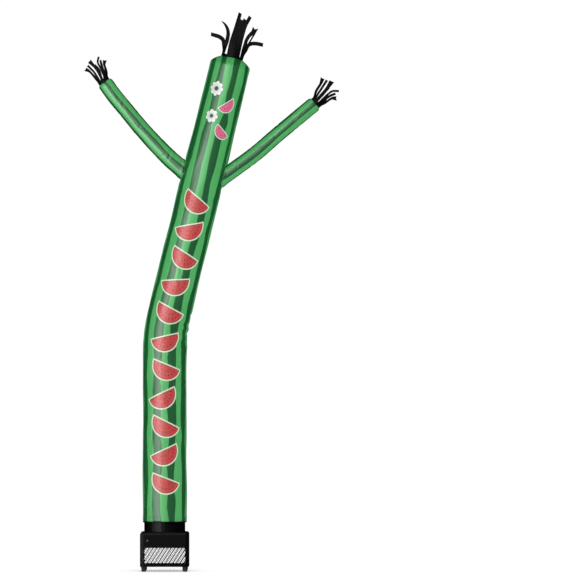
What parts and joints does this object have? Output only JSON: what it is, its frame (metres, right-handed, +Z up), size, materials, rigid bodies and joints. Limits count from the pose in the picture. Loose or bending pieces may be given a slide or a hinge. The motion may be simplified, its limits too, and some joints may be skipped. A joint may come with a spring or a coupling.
{
  "type": "inflatable air dancer with blower",
  "caption": "Inflatable cloth tube figure with two arms, black fringe hair and hands and melon stripes, bent and leaning as it dances on its boxy black fan blower.",
  "frame": {"origin": "under the middle of the part's width, on the surface that the feet stand on; the blower's axis stands 0.2575 m to the left of it", "axes": "+Z up, front faces -Y, +X to the viewer's right"},
  "size_m": [1.3979, 0.2738, 3.0703],
  "materials": {
    "cloth": "thin coated ripstop nylon printed with melon stripes, slightly shiny",
    "ribbon": "black nylon ribbon, slightly shiny",
    "housing": "satin black moulded plastic",
    "lattice": "satin black moulded plastic",
    "foot": "hard black rubber",
    "bezel": "glossy black plastic",
    "rocker": "glossy black plastic with pale marks"
  },
  "bodies": {
    "root": {"body_tube": "cloth", "head_cap": "cloth", "arm_left": "cloth", "arm_right": "cloth", "arm_cap_left": "cloth", "arm_cap_right": "cloth", "hair_fringe": "ribbon", "hand_fringe_left": "ribbon", "hand_fringe_right": "ribbon", "housing_front": "housing", "housing_rear": "housing", "base_plate": "housing", "foot_front_left": "foot", "foot_front_right": "foot", "foot_rear_left": "foot", "foot_rear_right": "foot", "grille_front": "lattice", "grille_rear": "lattice", "grille_left_front": "lattice", "grille_left_rear": "lattice", "grille_right_front": "lattice", "grille_right_rear": "lattice", "switch_bezel": "bezel"},
    "rocker": {"switch_rocker": "rocker"}
  },
  "joints": [
    {"name": "rocker_tilt", "type": "hinge", "parent": "root", "child": "rocker", "pos_m": [-0.3535, -0.1343, 0.171], "axis": [0, 0, 1], "range_deg": [-22, 0]}
  ]
}
